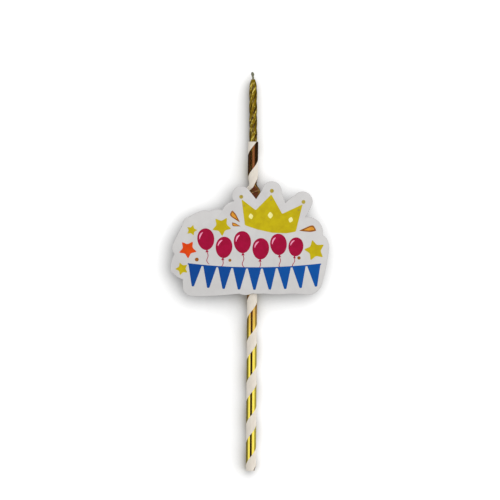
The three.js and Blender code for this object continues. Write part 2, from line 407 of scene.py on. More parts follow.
# %% Wall formula
def wall_place(tree, turn, height, inset):
    """The place of a point of the straw's wall. Turn 0 is the front and grows to the right."""
    flare = ramp(height, FLAT_TOP, PINCH_HEIGHT)
    pinch = ramp(height, PINCH_HEIGHT, PINCH_TOP)
    relief = ramp(-height, -FLAT_BOTTOM, -RELIEF_BOTTOM)
    side = (turn * math.tau).sin()
    front = (turn * math.tau).cos()
    off_fold = (height - FLAT_TOP - FOLD_SLANT * STRAW_RADIUS * side) / FOLD_WIDTH
    half_depth = (
        flare * (PINCH_HALF_DEPTH - FLAT_HALF_DEPTH)
        + pinch * (STRAW_RADIUS - PINCH_HALF_DEPTH)
        + relief * (STRAW_RADIUS - FLAT_HALF_DEPTH)
        + FOLD_RISE * (off_fold * off_fold + 1.0) ** -2.0
        + FLAT_HALF_DEPTH
    )
    # The half width for the same girth, from the usual formula for an ellipse's girth
    linear = 12.0 * STRAW_RADIUS - 8.0 * half_depth
    rest = 6.0 * half_depth * half_depth - 12.0 * STRAW_RADIUS * half_depth
    rest = rest + 4.0 * STRAW_RADIUS**2
    half_width = (linear + (linear * linear - 24.0 * rest).most(0.0) ** 0.5) / 12.0

    pressed_in = flare * (1.0 - pinch) * ramp(front, 0.0, 1.0) * FRONT_PRESS
    around = STRAW_RADIUS / CRUMPLE_GRAIN
    spot = vector_of(tree, side * around, front * around, height / CRUMPLE_GRAIN)
    rough = add_node(tree, "ShaderNodeTexNoise", {"Vector": spot, "Scale": 1.0, "Detail": 2.0})
    crimped = ramp(height, RELIEF_BOTTOM, FLAT_BOTTOM) * (1.0 - pinch)
    crumple = (Number(tree, rough.outputs["Fac"]) * 2.0 - 1.0) * crimped * CRUMPLE_SHARE
    dent = ramp(-height, -TIP_DENT_HEIGHT, 0.0) * ramp(side, 0.1, 1.0) * TIP_DENT_SHARE
    shape = crumple - dent + 1.0
    return vector_of(
        tree,
        (half_width - inset) * side * shape,
        (pressed_in + inset - half_depth) * front * shape,
        height,
    )


# %% [markdown]
# ## Winding a strip
# A strip is a flat box of many small cells. The tree bends it round the wall formula: along the
# box the turns go round, across it the strip's height runs, and through it the depth in the wall.
# What would stick out of the straw's ends is held back to the cut. The paper strips and the foil
# are the same tree with other sizes. Curving a flat mesh with modifiers would also work, but it
# couldn't keep the strips side by side in the crimp.


# %% Strip tree
def strip_tree():
    tree, given = new_tree(
        "wound_strip",
        {
            "Front height": float,
            "Strip height": float,
            "Outer inset": float,
            "Thickness": float,
            "Cells along": int,
            "Cells across": int,
            "Finish": bpy.types.Material,
        },
    )
    box = add_node(
        tree,
        "GeometryNodeMeshCube",
        {
            "Vertices X": given["Cells along"],
            "Vertices Y": given["Cells across"],
            "Vertices Z": 2,
        },
    )
    box.inputs["Size"].default_value = (1, 1, 1)
    place = tree.nodes.new("GeometryNodeInputPosition").outputs[0]
    along, across, through = numbers_of(tree, place)
    first = (given["Front height"] + given["Strip height"]) / -WIND_PITCH
    last = (STRAW_LENGTH - given["Front height"]) / WIND_PITCH
    turn = first + (along + 0.5) * (last - first)
    height = given["Front height"] + turn * WIND_PITCH + (across + 0.5) * given["Strip height"]
    inset = given["Outer inset"] + (0.5 - through) * given["Thickness"]
    wall = wall_place(tree, turn, height.most(0.0).least(STRAW_LENGTH), inset)
    end_tree(tree, moved_to(tree, box.outputs["Mesh"], wall), given["Finish"])
    return tree


STRIP = strip_tree()
print("strip tree nodes:", len(STRIP.nodes))

# %% [markdown]
# ## Straw paper and gold foil
# The straw is uncoated food paper: matt, a little cream, with fibres that run along the strip and
# show as faint streaks. The stripe is gold foil pressed onto the outer strip. It mirrors the
# studio, and what breaks its mirror up is the paper's grain under it, so it gets the same kind of
# bump, only finer. A plain yellow would look like paint, so it is a metal. In the crimp its colour
# is painted a dull brown, as painted shade of the recess behind the card. Along the fold a lighter
# tan is painted, partly wear down to the paper and partly a painted highlight.

# %% Straw paper
STREAK_SHARE = 0.6
MOTTLE_SHARE = 0.4
FIBRE_HEIGHT = 0.012 * MM


def straw_paper():
    finish, tree, shader, where = new_finish(
        "cream_straw_paper", Roughness=0.8, Specular_IOR_Level=0.25, Diffuse_Roughness=0.8
    )
    streaks = noise(tree, where, grain=1.1 * MM, stretch=(1, 1, 0.12))
    mottle = noise(tree, where, grain=6 * MM)
    tone = (streaks * STREAK_SHARE + mottle * MOTTLE_SHARE).most(0.0).least(1.0)
    tree.links.new(
        between(tree, ramp(tone, 0.3, 0.7), paint("#DBD4C8"), paint("#E5DED4")),
        shader.inputs["Base Color"],
    )
    fibres = noise(tree, where, grain=0.25 * MM, stretch=(1, 1, 0.3), detail=5.0)
    emboss(tree, shader, fibres, FIBRE_HEIGHT)
    return finish


PAPER = straw_paper()
print("paper:", PAPER.name)

# %% Gold foil
CREASE_CORE = 0.1 * MM
CREASE_EDGE = 0.4 * MM
# Share of the fold's wear and painted highlight
CREASE_WEAR_AND_HIGHLIGHT = 0.8
# Share of the crimp's painted shade
CRIMP_PAINTED_SHADE = 0.8
FOIL_ROUGHNESS = 0.08
RUBBED_ROUGHNESS = 0.07
CRIMP_ROUGHNESS = 0.16
FOIL_GRAIN_HEIGHT = 0.003 * MM


def gold_foil():
    finish, tree, shader, where = new_finish("pressed_gold_foil", Metallic=1.0)
    x, y, z = numbers_of(tree, where)
    crease = 1.0 - ramp(abs(z - FLAT_TOP - FOLD_SLANT * x), CREASE_CORE, CREASE_EDGE)
    # Wear and painted highlight: along the fold the foil is painted a lighter tan and loses its
    # metal
    worn_and_lit = crease * ramp(noise(tree, where, grain=0.7 * MM), 0.3, 0.6) * CREASE_WEAR_AND_HIGHLIGHT
    patches = noise(tree, where, grain=2.5 * MM)
    gold = between(tree, ramp(patches, 0.35, 0.65), paint("#FFED68"), paint("#FFE75E"))
    pressed = ramp(z, RELIEF_BOTTOM, FLAT_BOTTOM) * (1.0 - ramp(z, PINCH_HEIGHT, PINCH_TOP))
    # Painted shade: in the crimp the gold is pulled towards a dull brown
    shaded_gold = between(tree, pressed * CRIMP_PAINTED_SHADE, gold, paint("#8C5834"))
    tree.links.new(between(tree, worn_and_lit, shaded_gold, paint("#B08A62")), shader.inputs["Base Color"])
    feed(tree, shader.inputs["Metallic"], 1.0 - worn_and_lit)
    rub = noise(tree, where, grain=0.8 * MM, stretch=(1, 1, 0.15))
    rubbed = RUBBED_ROUGHNESS * ramp(rub, 0.4, 0.7)
    feed(tree, shader.inputs["Roughness"], FOIL_ROUGHNESS + rubbed + CRIMP_ROUGHNESS * pressed)
    grain = noise(tree, where, grain=0.5 * MM, stretch=(1, 1, 0.4), detail=4.0)
    emboss(tree, shader, grain, FOIL_GRAIN_HEIGHT)
    return finish


FOIL = gold_foil()
print("foil:", FOIL.name)

# %% [markdown]
# ## Three paper strips and the foil
# The seam of each strip lies a third of a turn from the next one's, as on a real straw, where
# staggered seams keep it tight. The outer strip and the foil are seen from close by, so they get
# small cells; the two inner strips show only at the ends and get larger ones.

# %% Straw pieces
SEAM_WIDTH = 0.1 * MM
SEAM_FRONT_HEIGHT = 3.0 * MM
FOIL_HEIGHT = 13.4 * MM
FOIL_FRONT_HEIGHT = 8.6 * MM
PLIES = ("straw_outer_ply", "straw_middle_ply", "straw_inner_ply")
OUTER_CELLS = (600, 66)
INNER_CELLS = (300, 34)
FOIL_CELLS = (600, 38)


def wind_straw():
    for layer, node in enumerate(PLIES):
        along, across = INNER_CELLS if layer else OUTER_CELLS
        strip = grow(
            node.replace("_ply", "_paper"),
            STRIP,
            {
                "Front height": SEAM_FRONT_HEIGHT + layer * WIND_PITCH / len(PLIES),
                "Strip height": WIND_PITCH - SEAM_WIDTH,
                "Outer inset": layer * (PLY_THICKNESS + PLY_GAP),
                "Thickness": PLY_THICKNESS,
                "Cells along": along,
                "Cells across": across,
                "Finish": PAPER,
            },
        )
        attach(strip, "topper")
        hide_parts(node)


def press_foil():
    along, across = FOIL_CELLS
    foil = grow(
        "foil_band",
        STRIP,
        {
            "Front height": FOIL_FRONT_HEIGHT,
            "Strip height": FOIL_HEIGHT,
            "Outer inset": -(PLY_GAP + FOIL_THICKNESS),
            "Thickness": FOIL_THICKNESS,
            "Cells along": along,
            "Cells across": across,
            "Finish": FOIL,
        },
    )
    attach(foil, "topper")
    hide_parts("foil_stripe")


wind_straw()
press_foil()

# %% [markdown]
# ## Gold candle wax
# The candle is paraffin wax pulled through a four lobed die and twisted, then dipped in a gold
# lacquer that looks dark and olive where it doesn't catch a light. The lobes meet in narrow
# grooves. Sweeping an outline along the candle would do as well; here a cylinder's points are
# moved by a formula, because the shoulder at the top, where lobes fade out, needs one too.
# Above the straw the candle leans a little to the left, as one pushed in by hand does.

# %% Wax sizes
wax_low, wax_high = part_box("candle_wax")
WAX_BOTTOM = wax_low.z
WAX_LENGTH = wax_high.z - wax_low.z
WAX_RADIUS = wax_high.x
LOBES = 4
GROOVE_DEPTH = 0.45 * MM
GROOVE_CURVE = 0.9
TWIST_PITCH = 32.4 * MM
SHOULDER_LENGTH = 4.6 * MM
SHOULDER_CURVE = 1.4
WAX_TIP_RADIUS = 1.15 * MM
WICK_HOLE_RADIUS = 0.72 * MM
CANDLE_LEAN = 0.25 * MM
WAX_SIDES = 96
WAX_STEPS = 170
HOLE_SIDES = 32


def candle_lean(height):
    """How far the candle bends to the left at this height. In the straw it is straight."""
    return ramp(height, STRAW_LENGTH, wax_high.z) * CANDLE_LEAN


print("wax length, mm:", round(WAX_LENGTH / MM, 1))

# %% [markdown]
# ## Gold lacquer
# The lacquer dries to a dark brown in patches, and the grooves are painted the same dark
# brown as painted shade. On the lobes it is a thin olive gold with small painted glints: bright,
# less metallic specks. The tree of the candle writes how deep in a groove each point lies, and the
# finish reads it. The painted glints are noise laid out along the twisted lobes, because an
# upright pattern would cross them.

# %% Lacquer
LACQUER_PATCH = 1.0 * MM
GROOVE_SHADE = 0.9
PATCH_MIDDLE = 0.45
PATCH_CONTRAST = 2.2
GLINT_GRAIN = 0.85 * MM
GLINT_START = 0.57
GLINT_FULL = 0.65
LACQUER_METAL = 0.6
GLINT_METAL_LOSS = 0.45
LACQUER_ROUGHNESS = 0.14
PATCH_ROUGHNESS = 0.16
DENT_GRAIN = 1.1 * MM
DENT_DEPTH = 0.25 * MM


def gold_wax():
    finish, tree, shader, where = new_finish(
        "gold_lacquer", Coat_Weight=0.15, Coat_Roughness=0.1
    )
    stored = add_node(tree, "ShaderNodeAttribute", attribute_name="groove")
    groove = Number(tree, stored.outputs["Fac"])
    patches = noise(tree, where, LACQUER_PATCH, stretch=(1, 1, 0.5))
    patchy = (patches - PATCH_MIDDLE) * PATCH_CONTRAST
    # Painted shade: the grooves are darkened towards brown, with random brown patches added
    groove_shade_and_patches = (groove * GROOVE_SHADE + patchy).most(0.0).least(1.0)
    x, y, z = numbers_of(tree, where)
    angle = y.math("ARCTAN2", x) - (z - WAX_BOTTOM) * (math.tau / TWIST_PITCH)
    along_lobe = vector_of(tree, angle.cos() * WAX_RADIUS, angle.sin() * WAX_RADIUS, z)
    # Painted glints: bright, less metallic specks along the lobe tops
    scattered = noise(tree, along_lobe, GLINT_GRAIN, stretch=(1, 1, 0.4), detail=1.0)
    painted_glints = ramp(scattered, GLINT_START, GLINT_FULL)
    shaded_lacquer = between(tree, groove_shade_and_patches, paint("#A68C02"), paint("#3A2400"))
    tree.links.new(
        between(tree, painted_glints * (1.0 - groove), shaded_lacquer, paint("#DCCA62")),
        shader.inputs["Base Color"],
    )
    feed(tree, shader.inputs["Metallic"], LACQUER_METAL - GLINT_METAL_LOSS * painted_glints)
    feed(tree, shader.inputs["Roughness"], LACQUER_ROUGHNESS + PATCH_ROUGHNESS * patches)
    dents = noise(tree, where, DENT_GRAIN, stretch=(1, 1, 0.6), detail=4.0)
    emboss(tree, shader, dents, DENT_DEPTH)
    return finish


GOLD_WAX = gold_wax()
print("lacquer:", GOLD_WAX.name)


# %% Wax tree
def wax_tree():
    tree, given = new_tree(
        "twisted_wax",
        {
            "Length": float,
            "Radius": float,
            "Tip radius": float,
            "Groove depth": float,
            "Hole radius": float,
            "Finish": bpy.types.Material,
        },
    )
    rod = add_node(
        tree,
        "GeometryNodeMeshCylinder",
        {"Vertices": WAX_SIDES, "Side Segments": WAX_STEPS, "Radius": 1.0, "Depth": 1.0},
        fill_type="NGON",
    )
    place = tree.nodes.new("GeometryNodeInputPosition").outputs[0]
    x, y, z = numbers_of(tree, place)
    angle = y.math("ARCTAN2", x)
    height = (z + 0.5) * given["Length"]
    shoulder = ((height - given["Length"]) / SHOULDER_LENGTH + 1.0).most(0.0)
    groove = 1.0 - abs((angle * (LOBES / 2)).cos()) ** GROOVE_CURVE
    groove = groove * (1.0 - shoulder)
    radius = (
        given["Radius"]
        - (given["Radius"] - given["Tip radius"]) * shoulder**SHOULDER_CURVE
        - given["Groove depth"] * groove
    )
    turned = angle + height * (math.tau / TWIST_PITCH)
    stored = add_node(
        tree,
        "GeometryNodeStoreNamedAttribute",
        {"Geometry": rod.outputs["Mesh"], "Name": "groove", "Value": groove},
    )
    shaped = moved_to(
        tree,
        stored.outputs[0],
        vector_of(
            tree,
            radius * turned.cos() - candle_lean(height + WAX_BOTTOM),
            radius * turned.sin(),
            height + WAX_BOTTOM,
        ),
    )
    hole = add_node(
        tree,
        "GeometryNodeMeshCylinder",
        {
            "Vertices": HOLE_SIDES,
            "Side Segments": 1,
            "Radius": given["Hole radius"],
            "Depth": 1.0,
        },
    )
    bored = add_node(tree, "GeometryNodeMeshBoolean", operation="DIFFERENCE", solver="EXACT")
    tree.links.new(shaped, bored.inputs["Mesh 1"])
    tree.links.new(hole.outputs["Mesh"], bored.inputs["Mesh 2"])
    end_tree(tree, bored.outputs["Mesh"], given["Finish"])
    return tree


WAX_TREE = wax_tree()
print("wax tree nodes:", len(WAX_TREE.nodes))


# %% Wax piece
def twist_candle():
    wax = grow(
        "twisted_wax",
        WAX_TREE,
        {
            "Length": WAX_LENGTH,
            "Radius": WAX_RADIUS,
            "Tip radius": WAX_TIP_RADIUS,
            "Groove depth": GROOVE_DEPTH,
            "Hole radius": WICK_HOLE_RADIUS,
            "Finish": GOLD_WAX,
        },
    )
    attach(wax, "candle")
    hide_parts("candle_wax")


twist_candle()

# %% [markdown]
# ## Wick
# The wick is three cotton strands twisted together, and its tip was dipped in wax, which makes a
# small bulb. A rod with a bump map would look smooth in outline, so the strands are real tubes:
# each follows a helix, and all three are joined with the bulb into one body. It leans with the
# candle, and a little more where it stands free.

# %% Wick sizes
wick_low, wick_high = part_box("candle_wick")
WICK_LENGTH = wick_high.z - wick_low.z
STRAND_COUNT = 3
STRAND_RADIUS = 0.32 * MM
STRAND_OFFSET = 0.34 * MM
STRAND_PITCH = 3.1 * MM
STRAND_SIDES = 10
STRAND_STEPS = 260
BULB_RADIUS = 0.92 * MM
BULB_LENGTH = 2.9 * MM
BULB_OVERLAP = 0.4
BULB_LUMPS = 1.6
BULB_LEAST = 0.8
BULB_SWING = 0.4
WICK_LEAN = 0.45 * MM


def wick_lean(height):
    """How far the wick bends to the left: as the candle does, and more where it is free."""
    return candle_lean(height) + ramp(height, wax_high.z, wick_high.z) * WICK_LEAN


print("wick length, mm:", round(WICK_LENGTH / MM, 1))

# %% [markdown]
# ## Cotton
# Bare cotton is white and fluffy, but this wick has taken up wax and a breath of the lacquer, so
# it is a dull grey green. Its tip is darker and smoother, where the wax covers the strands. One
# finish that changes with height does both, because the strands and the bulb are one body.

# %% Cotton
COTTON_ROUGHNESS = 0.85
WAX_POLISH = 0.4
WAX_SOAK = 0.5 * MM
FUZZ_HEIGHT = 0.03 * MM


def wick_cotton():
    finish, tree, shader, where = new_finish("wick_cotton")
    x, y, z = numbers_of(tree, where)
    bulb_foot = wick_high.z - BULB_LENGTH
    waxed = ramp(z, bulb_foot - WAX_SOAK, bulb_foot + BULB_LENGTH * 0.5)
    fuzz = noise(tree, where, grain=0.3 * MM, stretch=(1, 1, 0.3), detail=5.0)
    cotton = between(tree, fuzz, paint("#5F604A"), paint("#9A9A80"))
    tip = between(tree, fuzz, paint("#55573F"), paint("#7D7F66"))
    tree.links.new(between(tree, waxed, cotton, tip), shader.inputs["Base Color"])
    feed(tree, shader.inputs["Roughness"], COTTON_ROUGHNESS - WAX_POLISH * waxed)
    emboss(tree, shader, fuzz, FUZZ_HEIGHT)
    return finish


COTTON = wick_cotton()
print("cotton:", COTTON.name)


# %% Wick tree
def wick_tree():
    tree, given = new_tree(
        "twisted_wick",
        {
            "Length": float,
            "Bottom": float,
            "Strand radius": float,
            "Strand offset": float,
            "Bulb radius": float,
            "Bulb length": float,
            "Finish": bpy.types.Material,
        },
    )
    union = add_node(tree, "GeometryNodeMeshBoolean", operation="UNION", solver="MANIFOLD")
    line = add_node(tree, "GeometryNodeCurvePrimitiveLine", {"Start": (0, 0, 0), "End": (0, 0, 1)})
    fine = add_node(
        tree, "GeometryNodeResampleCurve", {"Curve": line.outputs[0], "Count": STRAND_STEPS}
    )
    share = Number(tree, tree.nodes.new("GeometryNodeSplineParameter").outputs["Factor"])
    ring = add_node(
        tree,
        "GeometryNodeCurvePrimitiveCircle",
        {"Resolution": STRAND_SIDES, "Radius": given["Strand radius"]},
    )
    height = share * (given["Length"] - given["Bulb length"] * BULB_OVERLAP)
    for strand in range(STRAND_COUNT):
        angle = height * (math.tau / STRAND_PITCH) + math.tau * strand / STRAND_COUNT
        path = moved_to(
            tree,
            fine.outputs[0],
            vector_of(
                tree,
                given["Strand offset"] * angle.cos() - wick_lean(height + given["Bottom"]),
                given["Strand offset"] * angle.sin(),
                height + given["Bottom"],
            ),
        )
        tube = add_node(
            tree,
            "GeometryNodeCurveToMesh",
            {"Curve": path, "Profile Curve": ring.outputs[0], "Fill Caps": True},
        )
        tree.links.new(tube.outputs[0], union.inputs["Mesh 2"])
    ball = add_node(
        tree, "GeometryNodeMeshUVSphere", {"Segments": 24, "Rings": 18, "Radius": 1.0}
    )
    place = tree.nodes.new("GeometryNodeInputPosition").outputs[0]
    x, y, z = numbers_of(tree, place)
    lump = add_node(tree, "ShaderNodeTexNoise", {"Vector": place, "Scale": BULB_LUMPS})
    lumpy = BULB_LEAST + BULB_SWING * Number(tree, lump.outputs["Fac"])
    swell = given["Bulb radius"] * lumpy
    middle = given["Bottom"] + given["Length"] - given["Bulb length"] * 0.5
    bulb_height = middle + z * given["Bulb length"] * 0.5
    bulb = moved_to(
        tree,
        ball.outputs["Mesh"],
        vector_of(tree, x * swell - wick_lean(bulb_height), y * swell, bulb_height),
    )
    tree.links.new(bulb, union.inputs["Mesh 2"])
    end_tree(tree, union.outputs["Mesh"], given["Finish"])
    return tree


WICK_TREE = wick_tree()
print("wick tree nodes:", len(WICK_TREE.nodes))


# %% Wick piece
def braid_wick():
    wick = grow(
        "cotton_wick",
        WICK_TREE,
        {
            "Length": WICK_LENGTH,
            "Bottom": wick_low.z,
            "Strand radius": STRAND_RADIUS,
            "Strand offset": STRAND_OFFSET,
            "Bulb radius": BULB_RADIUS,
            "Bulb length": BULB_LENGTH,
            "Finish": COTTON,
        },
    )
    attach(wick, "candle")
    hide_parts("candle_wick")


braid_wick()

# %% [markdown]
# ## Glue bead
# The card hangs on a line of hot glue along the straw. Pressed between the two, the glue was
# squeezed out to both sides and wraps a little round the straw. It is built as slices up the
# straw: each is flat on the card, hollow where the straw lies and swollen at its sides.

# %% Glue sizes
glue_low, glue_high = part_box("glue_bead")
GLUE_CLEARANCE = 0.04 * MM
GLUE_HOLLOW_RADIUS = STRAW_RADIUS + PLY_GAP + FOIL_THICKNESS + GLUE_CLEARANCE
GLUE_WRAP_ANGLE = math.acos(-glue_high.y / -GLUE_HOLLOW_RADIUS)
GLUE_SLICES = 56
GLUE_ARC_STEPS = 18
GLUE_SIDE_STEPS = 6
GLUE_FLAT_STEPS = 8
GLUE_SWELL = 0.5 * MM
GLUE_SWELL_SHARE = 0.3
GLUE_END_SHARE = 0.3


def glue_slice(share):
    """One slice of the bead, share of the way up, as points round it."""
    fullness = max(0.0, 1 - abs(2 * share - 1) ** 5) ** 0.5
    spread = GLUE_END_SHARE + (1 - GLUE_END_SHARE) * fullness
    slow_wave = 0.07 * (1 + math.sin(share * 21 + 1))
    quick_wave = 0.05 * (1 + math.cos(share * 47))
    wobble = 1 - slow_wave - quick_wave
    width = glue_high.x * spread * wobble
    wrap = GLUE_WRAP_ANGLE * spread * (0.94 + 0.06 * wobble)
    arc = []
    for step in range(GLUE_ARC_STEPS + 1):
        angle = wrap * (2 * step / GLUE_ARC_STEPS - 1)
        arc.append((GLUE_HOLLOW_RADIUS * math.sin(angle), -GLUE_HOLLOW_RADIUS * math.cos(angle)))
    x, y = arc[-1]
    bulge = GLUE_SWELL * fullness * GLUE_SWELL_SHARE
    bend = max(width, x) + bulge, (y + glue_low.y) / 2
    side = []
    for step in range(1, GLUE_SIDE_STEPS + 1):
        t = step / GLUE_SIDE_STEPS
        side.append(
            tuple(
                (1 - t) ** 2 * a + 2 * t * (1 - t) * b + t * t * c
                for a, b, c in zip((x, y), bend, (width, glue_low.y))
            )
        )
    flat = []
    for step in range(1, GLUE_FLAT_STEPS):
        flat.append((width * (1 - 2 * step / GLUE_FLAT_STEPS), glue_low.y))
    return arc + side + flat + [(-a, b) for a, b in reversed(side)]


print("points round a slice of glue:", len(glue_slice(0.5)))

# %% [markdown]
# ## Hot glue
# Hot glue is a clear plastic that sets milky, with a soft gloss. Light gets a little way into it,
# which subsurface scattering does. A see-through material would look like glass instead.

# %% Glue finish
GLUE_DEPTH = 1 * MM
GLUE_DEPTH_BY_COLOUR = (1, 1, 0.8)


def hot_glue():
    finish, tree, shader, where = new_finish(
        "hot_glue", Roughness=0.25, Coat_Weight=0.3, Subsurface_Weight=0.5
    )
    cloud = noise(tree, where, grain=3 * MM)
    tree.links.new(
        between(tree, cloud, paint("#F2ECDA"), paint("#FAF6EA")), shader.inputs["Base Color"]
    )
    shader.inputs["Subsurface Radius"].default_value = GLUE_DEPTH_BY_COLOUR
    shader.inputs["Subsurface Scale"].default_value = GLUE_DEPTH
    emboss(tree, shader, noise(tree, where, grain=1.5 * MM), depth=0.05 * MM)
    return finish


HOT_GLUE = hot_glue()
print("glue:", HOT_GLUE.name)


# %% Glue piece
def squeeze_glue():
    work = bmesh.new()
    rings = []
    for step in range(GLUE_SLICES + 1):
        share = step / GLUE_SLICES
        eased = 0.5 - 0.5 * math.cos(math.pi * share)
        z = glue_low.z + (glue_high.z - glue_low.z) * eased
        rings.append([work.verts.new((x, y, z)) for x, y in glue_slice(eased)])
    for lower, upper in zip(rings, rings[1:]):
        for i in range(len(lower)):
            j = (i + 1) % len(lower)
            work.faces.new((lower[i], lower[j], upper[j], upper[i]))
    work.faces.new(rings[0])
    work.faces.new(rings[-1])
    bmesh.ops.recalc_face_normals(work, faces=work.faces)
    mesh = bpy.data.meshes.new("squeezed_glue")
    work.to_mesh(mesh)
    work.free()
    mesh.materials.append(HOT_GLUE)
    glue = bpy.data.objects.new("squeezed_glue", mesh)
    scene.collection.objects.link(glue)
    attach(glue, "topper")
    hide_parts("glue_bead")
    settle(glue, corner_angle=50)


squeeze_glue()

# %% [markdown]
# ## Card
# The card is art board, printed and then cut out along its drawing with a steel rule, which
# leaves a crisp edge that is pressed a little round. Its outline is a chain of straight runs
# and shallow arcs. Each row of the list below is a corner of it with how far the outline bulges
# out on its way to the next one, all in millimetres, and a short function turns the rows into
# points.

# %% Card outline
card_low, card_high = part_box("plaque_card")
CARD_DROP = 62.6 * MM
CARD_BOTTOM = FLAT_TOP - CARD_DROP
OUTLINE_STEP = 0.5 * MM
CUT_EDGE_ROUNDING = 0.2 * MM
CARD_CORNERS = [
    (2.0, 58.6, 0), (5.7, 64.4, 5.6), (17.2, 63.0, 0), (19.5, 56.4, 0.3), (25.2, 61.0, 5.2),
    (35.3, 55.0, 0), (31.7, 48.1, 3.7), (42.0, 37.5, 1.2), (45.9, 29.5, 0.4), (42.2, 10.2, 2.0),
    (34.4, 1.5, 0), (25.7, 2.1, 0), (19.2, 1.9, 0.4), (7.1, 2.1, 0.25), (0.2, 2.2, 0.9),
    (-7.7, 1.9, 0.2), (-29.7, 0.2, 0.1), (-37.0, 0.4, 1.5), (-41.5, 6.5, 0.1),
    (-41.5, 10.2, 0.8), (-49.1, 15.8, 0.6), (-46.7, 25.4, 1.1), (-47.4, 31.6, 0.1),
    (-41.7, 43.6, 0.9), (-38.9, 47.3, 0.2), (-31.2, 51.1, 0.5), (-25.9, 51.0, 0.9),
    (-18.2, 51.9, 1.2), (-11.3, 57.3, 5.5), (-2.6, 64.3, 0),
]


def arc_points(start, end, bulge):
    """Points from start up to end, on an arc that bulges out by this much."""
    along = end - start
    chord = along.length
    if bulge == 0:
        count = max(1, round(chord / OUTLINE_STEP))
        return [start + along * step / count for step in range(count)]
    radius = (chord * chord / 4 + bulge * bulge) / (2 * bulge)
    half = math.asin(min(1.0, chord / 2 / radius))
    sweep = 2 * (math.pi - half if bulge > chord / 2 else half)
    outwards = Vector((-along.y, along.x)) / chord
    centre = (start + end) / 2 + outwards * (bulge - radius)
    count = max(3, round(radius * sweep / OUTLINE_STEP))
    points = []
    for step in range(count):
        angle = sweep * (step / count - 0.5)
        reach = outwards * math.cos(angle) + along / chord * math.sin(angle)
        points.append(centre + reach * radius)
    return points


def card_outline():
    """The card's outline as points in x and z, clockwise seen from the front."""
    corners = [Vector((x * MM, CARD_BOTTOM + height * MM)) for x, height, _ in CARD_CORNERS]
    points = []
    for i, (_, _, bulge) in enumerate(CARD_CORNERS):
        points += arc_points(corners[i], corners[(i + 1) % len(corners)], bulge * MM)
    return points


print("outline points:", len(card_outline()))

# %% [markdown]
# ## Flat goods helper
# The card and every printed shape on it are flat sheets of some thickness. One helper makes them
# all from an outline: a face at the front, one at the back and a rim between them. Its rim can
# be rounded, as the card's is.


# %% Flat sheet helper
def flat_sheet(name, outline, front, back, rounding=0.0):
    """A closed flat mesh between two depths, from an outline in x and z."""
    work = bmesh.new()
    face = work.faces.new([work.verts.new((x, front, z)) for x, z in outline])
    made = bmesh.ops.extrude_face_region(work, geom=[face])
    behind = [v for v in made["geom"] if isinstance(v, bmesh.types.BMVert)]
    bmesh.ops.translate(work, verts=behind, vec=(0, back - front, 0))
    if rounding:
        rims = [
            e for e in work.edges if abs(e.verts[0].co.y - e.verts[1].co.y) < rounding / 10
        ]
        bmesh.ops.bevel(
            work, geom=rims, offset=rounding, segments=2, profile=0.5, affect="EDGES"
        )
    bmesh.ops.recalc_face_normals(work, faces=work.faces)
    mesh = bpy.data.meshes.new(name)
    work.to_mesh(mesh)
    work.free()
    sheet = bpy.data.objects.new(name, mesh)
    scene.collection.objects.link(sheet)
    return sheet


# %% [markdown]
# ## Card board
# Coated board is nearly white with a faint mottle and a soft sheen, and has the same finish on
# its back here. Its cut edge has darker fibres inside and is painted dark grey as well, as painted
# shade for the thin dark line round the card.
# The two finishes are told apart by which way a face of the mesh looks.

# %% Card finishes
CARD_ROUGHNESS = 0.4
GRAIN_ROUGHNESS = 0.12


def card_face():
    finish, tree, shader, where = new_finish("coated_card")
    mottle = noise(tree, where, grain=7 * MM)
    grain = noise(tree, where, grain=0.4 * MM, detail=5.0)
    tone = mottle * 0.7 + grain * 0.3
    tree.links.new(
        between(tree, ramp(tone, 0.3, 0.7), paint("#C5C3C2"), paint("#CBCAC8")),
        shader.inputs["Base Color"],
    )
    feed(tree, shader.inputs["Roughness"], CARD_ROUGHNESS + GRAIN_ROUGHNESS * grain)
    emboss(tree, shader, grain, depth=0.008 * MM)
    return finish


def shaded_cut_edge():
    finish, tree, shader, where = new_finish("shaded_cut_card_edge", Roughness=0.9)
    fibres = noise(tree, where, grain=0.3 * MM, stretch=(1, 3, 1), detail=5.0)
    # Painted shade: the cut edge is painted dark grey, which draws a dark line round the card
    tree.links.new(
        between(tree, fibres, paint("#4A4644"), paint("#6E6864")), shader.inputs["Base Color"]
    )
    emboss(tree, shader, fibres, depth=0.03 * MM)
    return finish


CARD_FACE = card_face()
SHADED_CUT_EDGE = shaded_cut_edge()
print("card finishes:", CARD_FACE.name, SHADED_CUT_EDGE.name)

# %% Card piece
FLAT_ENOUGH = 0.9


def cut_card():
    card = flat_sheet(
        "die_cut_card", card_outline(), card_low.y, card_high.y, CUT_EDGE_ROUNDING
    )
    card.data.materials.append(CARD_FACE)
    card.data.materials.append(SHADED_CUT_EDGE)
    for face in card.data.polygons:
        face.material_index = 0 if abs(face.normal.y) > FLAT_ENOUGH else 1
    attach(card, "topper")
    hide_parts("plaque_card")
    settle(card, corner_angle=30)


cut_card()

# %% [markdown]
# ## Printing inks
# The card is printed in bright inks with a thin gloss. On the real card each colour is a film of
# ink, so each is a film here too: a closed sheet a few hundredths of a millimetre thick that lies
# on the card. A painted texture would be the other way, but a film keeps its sharp edge at any
# zoom. What lies over another colour is a little thicker.

# %% Inks
INK_SINK = 0.02 * MM
INK_LAYER = 0.014 * MM
INK_ROUGHNESS = 0.32
INK_GRAIN_HEIGHT = 0.006 * MM
CHANGE_SHARE = 0.8


